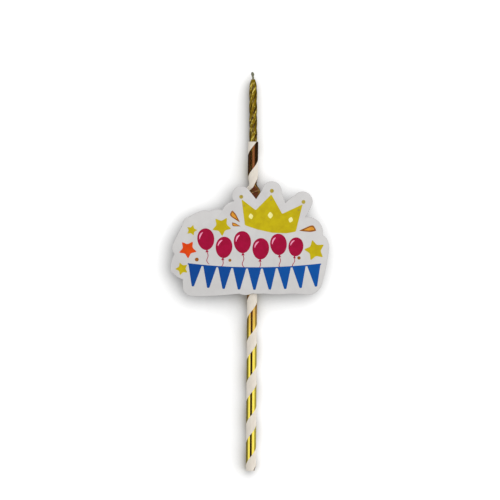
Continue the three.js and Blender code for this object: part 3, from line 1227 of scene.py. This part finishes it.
def ink(name, low, high, changes_across=False):
    """A printed colour with a faint mottle, or one that changes towards the right edge."""
    finish, tree, shader, where = new_finish(name, Specular_IOR_Level=0.15)
    mottle = noise(tree, where, grain=3 * MM)
    share = ramp(mottle, 0.3, 0.7)
    if changes_across:
        x, y, z = numbers_of(tree, where)
        across = ramp(x, card_low.x, card_high.x)
        share = (across * CHANGE_SHARE + share * (1.0 - CHANGE_SHARE)).least(1.0)
    tree.links.new(
        between(tree, share, paint(low), paint(high)), shader.inputs["Base Color"]
    )
    grain = noise(tree, where, grain=0.4 * MM, detail=5.0)
    feed(tree, shader.inputs["Roughness"], INK_ROUGHNESS + GRAIN_ROUGHNESS * grain)
    emboss(tree, shader, grain, INK_GRAIN_HEIGHT)
    return finish


CRIMSON = ink("crimson_ink", "#950030", "#A20038")
ROSE = ink("rose_ink", "#E58FB0", "#EFA6C0")
BLUE = ink("blue_ink", "#003E88", "#004F9C", changes_across=True)
YELLOW = ink("yellow_ink", "#B4A004", "#BFAD04")
LEMON = ink("lemon_ink", "#E2DC86", "#ECE7A6")
OLIVE = ink("olive_ink", "#A08C2C", "#AC9A38")
ORANGE = ink("orange_ink", "#CE3C00", "#D84602")
AMBER = ink("amber_ink", "#D08A28", "#DC9834")
BROWN = ink("brown_ink", "#8A5018", "#9A6024")
print("inks:", sorted(m.name for m in bpy.data.materials if m.name.endswith("_ink")))

# %% [markdown]
# ## Motif outlines
# Each motif is drawn once, one unit in size, as a list of points. A drawing program's curves
# could be brought in, but a rule says the same in fewer lines and can be changed in one place.
# Printed corners are never quite sharp, so one helper draws each corner as a small curve.

# %% Rounded corners
SQUARE = [(0, 0), (1, 0), (1, 1), (0, 1)]


def rounded(points, reach, steps=4):
    """An outline with each corner drawn as a small curve that starts this far from it."""
    softened = []
    for i, corner in enumerate(points):
        before = points[i - 1] - corner
        after = points[(i + 1) % len(points)] - corner
        start = corner + before.normalized() * min(reach, before.length * 0.45)
        end = corner + after.normalized() * min(reach, after.length * 0.45)
        for step in range(steps + 1):
            t = step / steps
            softened.append(start.lerp(corner, t).lerp(corner.lerp(end, t), t))
    return softened


print("points of a rounded square:", len(rounded([Vector(p) for p in SQUARE], 0.1)))

# %% Stars, dots, lozenges and wedges
STAR_POINTS = 5
STAR_WAIST = 0.52


def star_outline():
    points = []
    for i in range(2 * STAR_POINTS):
        angle = math.tau * (0.25 + i / (2 * STAR_POINTS))
        reach = STAR_WAIST if i % 2 else 1.0
        points.append(Vector((math.cos(angle), math.sin(angle))) * reach)
    return rounded(points, 0.16)


def dot_outline(count=24):
    turns = [math.tau * i / count for i in range(count)]
    return [Vector((math.cos(angle), math.sin(angle))) for angle in turns]


def lozenge_outline():
    return rounded([Vector(p) for p in ((0.8, 0), (0, 1), (-0.8, 0), (0, -1))], 0.45)


def wedge_outline(margin=0.0):
    """A spark that starts narrow at the origin and ends wide, drawn in by a margin."""
    points = [
        (3.2 * margin, 0),
        (0.62, -0.15 + margin),
        (0.97 - margin, -0.13 + margin),
        (0.84 - margin, 0.2 - margin),
        (0.66, 0.2 - margin),
    ]
    return rounded([Vector(p) for p in points], 0.1)


print("points of a star:", len(star_outline()))

# %% Balloon outlines
BALLOON_WIDTH = 0.82
BALLOON_TAPER = 0.1
BALLOON_KNOT = [(-0.05, -1.0), (-0.15, -1.2), (0.15, -1.2), (0.05, -1.0)]
GLEAM_START = 112
GLEAM_SWEEP = 62
GLEAM_REACH = 0.74
GLEAM_BREADTH = 0.09
STRING_HALF_WIDTH = 0.035
STRING_SWAY = 0.13
STRING_TOP = -1.18
STRING_LENGTH = 1.15


def balloon_outline(count=40):
    points = []
    for i in range(1, count):
        angle = math.tau * i / count - math.pi / 2
        taper = 1 - BALLOON_TAPER * (1 - math.sin(angle)) / 2
        points.append(Vector((BALLOON_WIDTH * taper * math.cos(angle), math.sin(angle))))
    return points + [Vector(p) for p in BALLOON_KNOT]


def gleam_outline(steps=10):
    """A curved highlight at the upper left of a balloon."""
    outer, inner = [], []
    for step in range(steps + 1):
        share = step / steps
        angle = math.radians(GLEAM_START + GLEAM_SWEEP * share)
        reach = Vector((0.78 * math.cos(angle), 0.95 * math.sin(angle)))
        breadth = GLEAM_BREADTH * math.sin(math.pi * (0.08 + 0.84 * share))
        outer.append(reach * (GLEAM_REACH + breadth))
        inner.append(reach * (GLEAM_REACH - breadth))
    return outer + inner[::-1]


def string_outline(steps=24):
    """A wavy string that hangs from a balloon's knot."""
    left, right = [], []
    for step in range(steps + 1):
        share = step / steps
        x = STRING_SWAY * math.sin(math.tau * 1.1 * share) * share**0.5
        z = STRING_TOP - STRING_LENGTH * share
        left.append(Vector((x - STRING_HALF_WIDTH, z)))
        right.append(Vector((x + STRING_HALF_WIDTH, z)))
    return left + right[::-1]


print("points of a balloon:", len(balloon_outline()))

# %% [markdown]
# ## Scattered motifs
# Stars, dots, balloons and sparks each come several times in other sizes and turns. The places
# are the vertices of a bare mesh that also carries each one's size and turn. A tree sets the
# motif on each of them, which is how such repeats are made without copying by hand.


# %% Scatter tree
def scatter_tree():
    tree, given = new_tree(
        "scattered_motifs", {"Motif": bpy.types.Object, "Finish": bpy.types.Material}
    )
    motif = add_node(tree, "GeometryNodeObjectInfo", {"Object": given["Motif"]})
    size, turn = (
        Number(tree, add_node(tree, "GeometryNodeInputNamedAttribute", {"Name": name}).outputs[0])
        for name in ("size", "turn")
    )
    placed = add_node(
        tree,
        "GeometryNodeInstanceOnPoints",
        {
            "Points": given["Geometry"],
            "Instance": motif.outputs["Geometry"],
            "Rotation": vector_of(tree, 0.0, -turn, 0.0),
            "Scale": vector_of(tree, size, 1.0, size),
        },
    )
    end_tree(tree, placed.outputs[0], given["Finish"])
    return tree


SCATTER = scatter_tree()
print("scatter tree nodes:", len(SCATTER.nodes))


# %% Print a motif
def print_motifs(name, outline, finish, layer, places):
    """One ink film made of a motif at places, each given as x, z, size in mm and turn."""
    front = -INK_LAYER * layer
    motif = flat_sheet("motif", outline, front, INK_SINK)
    base = bpy.data.meshes.new(name)
    base.from_pydata([(x * MM, card_low.y, z * MM) for x, z, _, _ in places], [], [])
    sizes = base.attributes.new("size", "FLOAT", "POINT")
    turns = base.attributes.new("turn", "FLOAT", "POINT")
    for i, (_, _, size, turn) in enumerate(places):
        sizes.data[i].value = size * MM
        turns.data[i].value = math.radians(turn)
    film = grow(name, SCATTER, {"Motif": motif, "Finish": finish}, base)
    bpy.data.objects.remove(motif)
    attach(film, "topper")


# %% [markdown]
# ## Stars, dots and sparks
# Small ornaments fill the card's corners. Sparks fly from both sides of the crown: each is a
# brown wedge with a smaller amber one over it, which leaves the drawn line round it. Each row is
# a place in x and z and a size, all in millimetres, and a turn in degrees.

# %% Ornaments
YELLOW_STARS = [
    (-18.5, 146.2, 6.1, 184), (-36.4, 143.7, 3.4, 200), (-42.1, 120.6, 4.1, 20),
    (37.3, 132.2, 6.6, 14),
]
ORANGE_STARS = [(-38.7, 132.3, 5.7, 183)]
ORANGE_DOTS = [(-33.2, 126.2, 1.15, 0), (27.9, 127.6, 1.0, 0), (-13.4, 125.9, 0.9, 0)]
SPARKS = [(-7.4, 148.4, 9.2, 130.5), (-7.0, 146.2, 6.0, 163), (27.6, 143.8, 11.0, 8)]
LINE_SHARE = 0.08

print_motifs("yellow_stars", star_outline(), YELLOW, 2, YELLOW_STARS)
print_motifs("orange_stars", star_outline(), ORANGE, 2, ORANGE_STARS)
print_motifs("orange_dots", dot_outline(), BROWN, 2, ORANGE_DOTS)
print_motifs("spark_lines", wedge_outline(), BROWN, 2, SPARKS)
print_motifs("spark_fills", wedge_outline(LINE_SHARE), AMBER, 3, SPARKS)

# %% [markdown]
# ## Balloons
# Six balloons hang in a loose row. Their strings lie under them, and a pale gleam on each makes
# it look round, as in any party print.

# %% Balloon row
BALLOONS = [
    (-27.9, 138.4, 6.5, 6), (-17.0, 133.6, 6.4, -5), (-6.0, 136.8, 6.6, 3),
    (5.0, 132.9, 6.4, -3), (15.6, 135.6, 6.4, 5), (26.0, 134.2, 5.7, -7),
]

print_motifs("balloon_strings", string_outline(), CRIMSON, 1, BALLOONS)
print_motifs("balloons", balloon_outline(), CRIMSON, 2, BALLOONS)
print_motifs("balloon_gleams", gleam_outline(), ROSE, 3, BALLOONS)

# %% [markdown]
# ## Crown
# The crown is one drawn outline with three points. Round studs sit on the points, and smaller
# ones and pale lozenges lie over its yellow.

# %% Crown
CROWN_CORNERS = [
    (-6.7, 162.5), (1.8, 156.0), (11.1, 165.5), (17.7, 153.9), (29.9, 159.7), (25.9, 143.3),
    (20.6, 142.3), (12.0, 142.5), (3.0, 144.4), (-4.6, 146.9),
]
CROWN_STUDS = [(-6.9, 163.9, 1.15, 0), (11.4, 167.6, 1.2, 0), (30.4, 161.1, 1.15, 0)]
CROWN_LOZENGES = [(-1.0, 152.3, 2.0, 10), (10.6, 153.0, 2.3, 0), (22.8, 150.4, 2.0, -18)]
CROWN_SOFTENING = 0.7
CROWN_DOTS = [(-5.1, 158.6, 0.55, 0), (11.1, 162.3, 0.6, 0), (27.5, 156.2, 0.6, 0)]


def print_crown():
    outline = rounded([Vector(p) for p in CROWN_CORNERS], CROWN_SOFTENING)
    crown = flat_sheet(
        "crown",
        [point * MM for point in outline],
        card_low.y - 2 * INK_LAYER,
        card_low.y + INK_SINK,
    )
    crown.data.materials.append(YELLOW)
    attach(crown, "topper")
    settle(crown)


print_crown()
print_motifs("crown_studs", dot_outline(), OLIVE, 3, CROWN_STUDS)
print_motifs("crown_lozenges", lozenge_outline(), LEMON, 3, CROWN_LOZENGES)
print_motifs("crown_dots", dot_outline(16), OLIVE, 3, CROWN_DOTS)

# %% [markdown]
# ## Bunting
# A string of blue pennants swags across the lower part of the card. A tree bends a line into
# the swag and sets a pennant at equal steps along it, each turned with the line. The string
# itself is a long flat box in the same tree, bent by the same rule.

# %% Bunting sizes
SWAG_LEFT = Vector((-38.6, 123.6)) * MM
SWAG_RIGHT = Vector((41.2, 124.0)) * MM
SWAG_SAG = 2.4 * MM
PENNANTS = 9
PENNANT_HALF_WIDTH = 4.15 * MM
RIBBON_WIDTH = 0.8 * MM
SWAG_STEPS = 80
RIBBON_CELLS = 60


def pennant_outline():
    points = [(-1, 0.1), (1, 0.1), (0.16, -3.15), (-0.16, -3.15)]
    return rounded([Vector(p) for p in points], 0.12)


def swag_place(share, sag):
    """The x and z of a point of the swag, this share of the way along."""
    span = SWAG_RIGHT - SWAG_LEFT
    drop = share * (1.0 - share) * 4.0 * sag
    return share * span.x + SWAG_LEFT.x, share * span.y + SWAG_LEFT.y - drop


print("swag length, mm:", round((SWAG_RIGHT - SWAG_LEFT).length / MM, 1))


# %% Bunting tree
def swag_tree():
    tree, given = new_tree(
        "pennant_swag",
        {
            "Motif": bpy.types.Object,
            "Count": int,
            "Size": float,
            "Sag": float,
            "Ribbon width": float,
            "Finish": bpy.types.Material,
        },
    )
    line = add_node(
        tree, "GeometryNodeCurvePrimitiveLine", {"Start": (0, 0, 0), "End": (1, 0, 0)}
    )
    fine = add_node(
        tree, "GeometryNodeResampleCurve", {"Curve": line.outputs[0], "Count": SWAG_STEPS}
    )
    along = Number(tree, tree.nodes.new("GeometryNodeSplineParameter").outputs["Factor"])
    x, z = swag_place(along, given["Sag"])
    swag = moved_to(tree, fine.outputs[0], vector_of(tree, x, card_low.y, z))
    count = Number(tree, given["Count"])
    trimmed = add_node(
        tree,
        "GeometryNodeTrimCurve",
        {"Curve": swag, "Start": 0.5 / count, "End": 1.0 - 0.5 / count},
    )
    steps = add_node(
        tree, "GeometryNodeCurveToPoints", {"Curve": trimmed.outputs[0], "Count": given["Count"]}
    )
    run, depth, rise = numbers_of(tree, steps.outputs["Tangent"])
    motif = add_node(tree, "GeometryNodeObjectInfo", {"Object": given["Motif"]})
    hung = add_node(
        tree,
        "GeometryNodeInstanceOnPoints",
        {
            "Points": steps.outputs["Points"],
            "Instance": motif.outputs["Geometry"],
            "Rotation": vector_of(tree, 0.0, -rise.math("ARCTAN2", run), 0.0),
            "Scale": vector_of(tree, given["Size"], 1.0, given["Size"]),
        },
    )
    box = add_node(
        tree,
        "GeometryNodeMeshCube",
        {"Vertices X": RIBBON_CELLS, "Vertices Y": 2, "Vertices Z": 2},
    )
    box.inputs["Size"].default_value = (1, 1, 1)
    place = tree.nodes.new("GeometryNodeInputPosition").outputs[0]
    x, y, z = numbers_of(tree, place)
    run, height = swag_place(x + 0.5, given["Sag"])
    depth = y * (INK_LAYER + INK_SINK) + (card_low.y + (INK_SINK - INK_LAYER) / 2)
    ribbon = moved_to(
        tree,
        box.outputs["Mesh"],
        vector_of(tree, run, depth, height + z * given["Ribbon width"]),
    )
    both = tree.nodes.new("GeometryNodeJoinGeometry")
    tree.links.new(hung.outputs[0], both.inputs[0])
    tree.links.new(ribbon, both.inputs[0])
    end_tree(tree, both.outputs[0], given["Finish"])
    return tree


SWAG = swag_tree()
print("bunting tree nodes:", len(SWAG.nodes))


# %% Bunting piece
def print_bunting():
    pennant = flat_sheet("motif", pennant_outline(), -2 * INK_LAYER, INK_SINK)
    bunting = grow(
        "bunting",
        SWAG,
        {
            "Motif": pennant,
            "Count": PENNANTS,
            "Size": PENNANT_HALF_WIDTH,
            "Sag": SWAG_SAG,
            "Ribbon width": RIBBON_WIDTH,
            "Finish": BLUE,
        },
    )
    bpy.data.objects.remove(pennant)
    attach(bunting, "topper")


print_bunting()

# %% [markdown]
# ## Table
# The topper lies on its back on a white table and is photographed from straight above, so the
# table is an upright board just behind it. The board is seen by the camera alone and only from
# its front, so that it doesn't hide the object from behind. The lamp throws a wide soft shadow
# on it. The darker shade close round the topper is ambient occlusion in the board's finish,
# looked for towards the light's side, so that it is wider on the side away from the lamp.

# %% Table
TABLE_DEPTH = 4.0 * MM
TABLE_SIDE = 3.0
TABLE_WHITE = 1.12
CONTACT_REACH = 26 * MM
CONTACT_SHADE = 0.9
CONTACT_SAMPLES = 16
TABLE_GRAIN = 40 * MM
TABLE_MOTTLE = 0.01
SHADE_TOWARDS = (0.28, -0.85, 0.28)


def pale_table():
    finish, tree, shader, where = new_finish("pale_table")
    tree.nodes.remove(shader)
    grain = noise(tree, where, TABLE_GRAIN)
    near = tree.nodes.new("ShaderNodeAmbientOcclusion")
    near.samples = CONTACT_SAMPLES
    near.inputs["Distance"].default_value = CONTACT_REACH
    light_side = tree.nodes.new("ShaderNodeCombineXYZ")
    for slot, value in zip(light_side.inputs, SHADE_TOWARDS):
        slot.default_value = value
    tree.links.new(light_side.outputs[0], near.inputs["Normal"])
    open_share = Number(tree, near.outputs["AO"])
    mottle = (1.0 - TABLE_MOTTLE / 2) + TABLE_MOTTLE * grain
    shade = TABLE_WHITE * mottle * (1.0 - CONTACT_SHADE * (1.0 - open_share))
    white = tree.nodes.new("ShaderNodeBsdfDiffuse")
    tree.links.new(vector_of(tree, shade, shade, shade), white.inputs["Color"])
    side = tree.nodes.new("ShaderNodeNewGeometry").outputs["Backfacing"]
    clear = tree.nodes.new("ShaderNodeBsdfTransparent")
    either = add_node(
        tree, "ShaderNodeMixShader", {0: side, 1: white.outputs[0], 2: clear.outputs[0]}
    )
    tree.links.new(either.outputs[0], tree.nodes["Material Output"].inputs["Surface"])
    return finish


def lay_table():
    half = TABLE_SIDE / 2
    mesh = bpy.data.meshes.new("table_top")
    corners = [(-half, -half), (half, -half), (half, half), (-half, half)]
    mesh.from_pydata([(x, TABLE_DEPTH, z) for x, z in corners], [], [(0, 1, 2, 3)])
    mesh.materials.append(pale_table())
    table = bpy.data.objects.new("table_top", mesh)
    scene.collection.objects.link(table)
    for kind in ("visible_diffuse", "visible_glossy", "visible_transmission", "visible_shadow"):
        setattr(table, kind, False)


lay_table()
print("table side, m:", TABLE_SIDE)

# %% [markdown]
# ## Light tent
# Foil and lacquer show what stands round them. In a photographer's tent that is a white cloth
# with gaps between its panels, and the gaps make the dark streaks along the foil. The tent here
# is a cylinder that only reflections see. Its panels are painted by their direction round it and
# by height: beside the lower straw they are bright, and above and below that the cloth is dim
# and brown with one soft streak. One bright panel higher up lights the candle's lobes. Real
# cloths could be hung round the topper, but each would have to be moved by hand until the foil
# looked right, while a band of angles is one line here.

# %% Tent panels
TENT_RADIUS = 0.55
TENT_BOTTOM = -12.0
TENT_TOP = 2.4
TENT_STEPS = 96
CLOTH_LIGHT = 0.34
PANEL_LIGHT = 0.7
GAP_LOSS = 0.33
RIGHT_REAR_LIGHT = 0.02
LEFT_REAR_LOSS = 0.2
DIM_LIGHT = 0.018
STREAK_LIGHT = 0.25
STREAK_SOFTNESS = 36.0
EDGE_LIGHT = 0.04
REAR_PANEL_LIGHT = 0.5
TOP_PANEL_LIGHT = 1.6
GAP_BROWN = 0.8
WARM_BROWN = 0.3
TENT_BROWN = (1.0, 0.43, 1.05, 1)


def window(angle, start, end, soft=6.0):
    """1 between two angles in degrees, with soft edges."""
    rise = ramp(angle, start - soft / 2, start + soft / 2)
    return rise * (1.0 - ramp(angle, end - soft / 2, end + soft / 2))


def tent_cloth():
    finish, tree, shader, where = new_finish("tent_cloth")
    tree.nodes.remove(shader)
    x, y, z = numbers_of(tree, where)
    angle = x.math("ARCTAN2", -y) * (180 / math.pi)
    gap = window(angle, -28, 18)
    left_panel = PANEL_LIGHT * window(angle, -68, -28)
    right_panel = PANEL_LIGHT * window(angle, 18, 76)
    right_rear = RIGHT_REAR_LIGHT * window(angle, 76, 200)
    left_rear = LEFT_REAR_LOSS * window(angle, -200, -90)
    low = CLOTH_LIGHT + left_panel + right_panel + right_rear - GAP_LOSS * gap - left_rear
    streak = STREAK_LIGHT * window(angle, -14, 34, STREAK_SOFTNESS)
    high = DIM_LIGHT + streak + EDGE_LIGHT * window(angle, -95, -65)
    upper = (ramp(z, 0.055, 0.15) + ramp(-z, 0.02, 0.08)).least(1.0)
    behind = window(abs(angle), 163, 200) * REAR_PANEL_LIGHT
    top_panel = window(angle, -62, -12) * ramp(z, 0.25, 0.28) * (1.0 - ramp(z, 0.5, 0.6))
    strength = low * (1.0 - upper) + high * upper + behind + TOP_PANEL_LIGHT * top_panel
    warm = WARM_BROWN * ramp(z, 0.06, 0.1)
    brown = (upper + GAP_BROWN * gap + warm).least(1.0) * (1.0 - behind) * (1.0 - top_panel)
    tint = between(tree, brown, (1, 1, 1, 1), TENT_BROWN)
    light = add_node(tree, "ShaderNodeEmission", {"Color": tint, "Strength": strength})
    tree.links.new(light.outputs[0], tree.nodes["Material Output"].inputs["Surface"])
    finish.cycles.emission_sampling = "NONE"
    return finish


TENT_CLOTH = tent_cloth()
print("tent cloth nodes:", len(TENT_CLOTH.node_tree.nodes))


# %% Raise the tent
def raise_tent():
    rings = []
    for z in (TENT_BOTTOM, TENT_TOP):
        for step in range(TENT_STEPS):
            angle = math.tau * step / TENT_STEPS
            rings.append((TENT_RADIUS * math.sin(angle), -TENT_RADIUS * math.cos(angle), z))
    faces = []
    for i in range(TENT_STEPS):
        j = (i + 1) % TENT_STEPS
        faces.append((i, j, j + TENT_STEPS, i + TENT_STEPS))
    mesh = bpy.data.meshes.new("light_tent")
    mesh.from_pydata(rings, [], faces)
    mesh.materials.append(TENT_CLOTH)
    tent = bpy.data.objects.new("light_tent", mesh)
    scene.collection.objects.link(tent)
    for kind in ("visible_camera", "visible_diffuse", "visible_transmission", "visible_shadow"):
        setattr(tent, kind, False)


raise_tent()
print("tent height, m:", TENT_TOP - TENT_BOTTOM)

# %% [markdown]
# ## Lamp and surroundings
# One large lamp from the upper right throws the soft shadow to the lower left, and the rest is
# even light from all round, a little stronger from behind. A photographer's lamp is a softbox of
# this kind. The camera sees the surroundings as plain white, and mirrors see them dim, because
# what they mirror is the tent.

# %% Lamp
KEY_PLACE = Vector((1.5, -2.4, 1.35))
KEY_SIZE = 4.6
KEY_POWER = 70.0


def hang_lamp(name, place, size, power):
    data = bpy.data.lights.new(name, "AREA")
    data.size = size
    data.energy = power
    lamp = bpy.data.objects.new(name, data)
    aim = (Vector((0, 0, CARD_BOTTOM)) - place).to_track_quat("-Z", "Y").to_matrix()
    lamp.matrix_world = Matrix.Translation(place) @ aim.to_4x4()
    scene.collection.objects.link(lamp)
    lamp.visible_glossy = False
    lamp.visible_camera = False
    print(f"{name}: {power:.0f} W, {place.length:.2f} m away")


hang_lamp("key_lamp", KEY_PLACE, KEY_SIZE, KEY_POWER)

# %% Surroundings
FRONT_LIGHT = 0.75
BACK_LIGHT = 0.85
ROUND_REFLECTION = 0.15
LIGHT_CHANGE = 0.1


def white_surroundings():
    world = bpy.data.worlds.new("white_surroundings")
    scene.world = world
    world.use_nodes = True
    tree = world.node_tree
    path = tree.nodes.new("ShaderNodeLightPath").outputs
    seen = Number(tree, path["Is Camera Ray"])
    mirrored = Number(tree, path["Is Glossy Ray"])
    where = tree.nodes.new("ShaderNodeTexCoord").outputs["Generated"]
    x, y, z = numbers_of(tree, where)
    around = FRONT_LIGHT + (BACK_LIGHT - FRONT_LIGHT) * ramp(y, -LIGHT_CHANGE, LIGHT_CHANGE)
    unseen = around * (1.0 - mirrored) + ROUND_REFLECTION * mirrored
    strength = seen + (1.0 - seen) * unseen
    ground = tree.nodes["Background"]
    ground.inputs["Color"].default_value = (1, 1, 1, 1)
    feed(tree, ground.inputs["Strength"], strength)
    print("surroundings:", world.name)


white_surroundings()

# %% [markdown]
# The dressed part has to be as large as the packed one.
